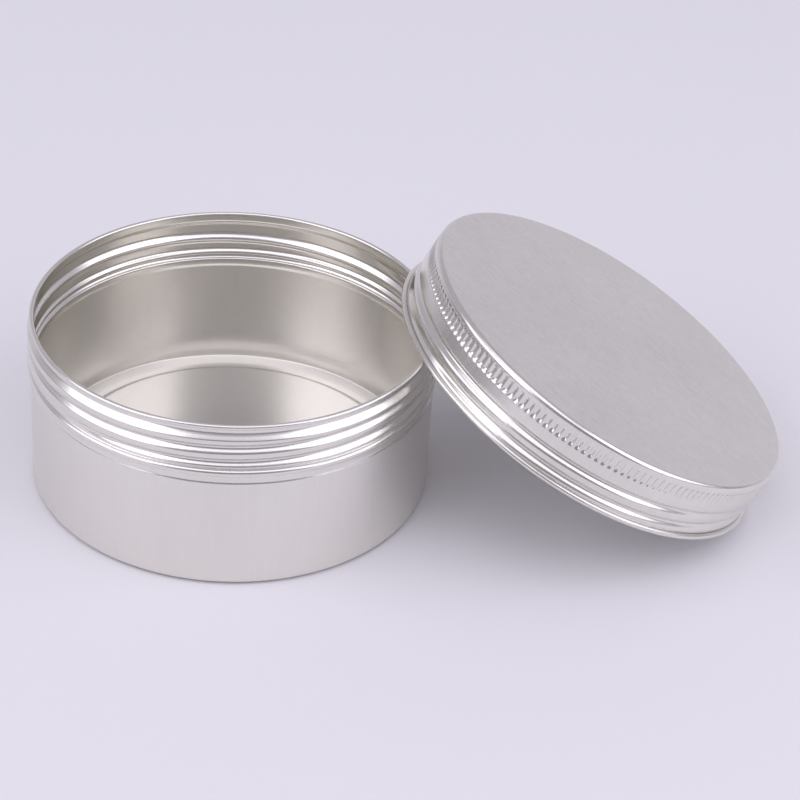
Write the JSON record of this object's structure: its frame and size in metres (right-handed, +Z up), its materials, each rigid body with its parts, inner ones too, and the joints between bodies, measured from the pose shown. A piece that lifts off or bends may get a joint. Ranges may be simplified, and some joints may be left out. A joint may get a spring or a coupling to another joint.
{
  "type": "screw-top candle tin",
  "caption": "Round shallow drawn-aluminium candle tin, open, with its threaded knurled lid leaning on the rim and a foam liner inside the lid.",
  "frame": {"origin": "centre of the flat ring that the tin stands on", "axes": "+Z up along the tin's axis, +X from the tin towards the leaning lid"},
  "size_m": [0.1522, 0.0834, 0.0497],
  "materials": {
    "tin_aluminium": "satin drawn sheet",
    "lid_aluminium": "satin rolled sheet with a straight grain",
    "liner_foam": "matt closed-cell foam"
  },
  "bodies": {
    "tin": {"tin_body": "tin_aluminium"},
    "liner": {"lid_liner": "liner_foam"},
    "lid": {"lid_shell": "lid_aluminium"}
  },
  "joints": [
    {"name": "lid_lift", "type": "slide", "parent": "tin", "child": "liner", "axis": [0, 0, 1], "range_m": [0, 0.08]},
    {"name": "lid_turn", "type": "hinge", "parent": "liner", "child": "lid", "pos_m": [0.06949, 0, 0.01915], "axis": [0.4633, 0, 0.8862], "continuous": true}
  ]
}
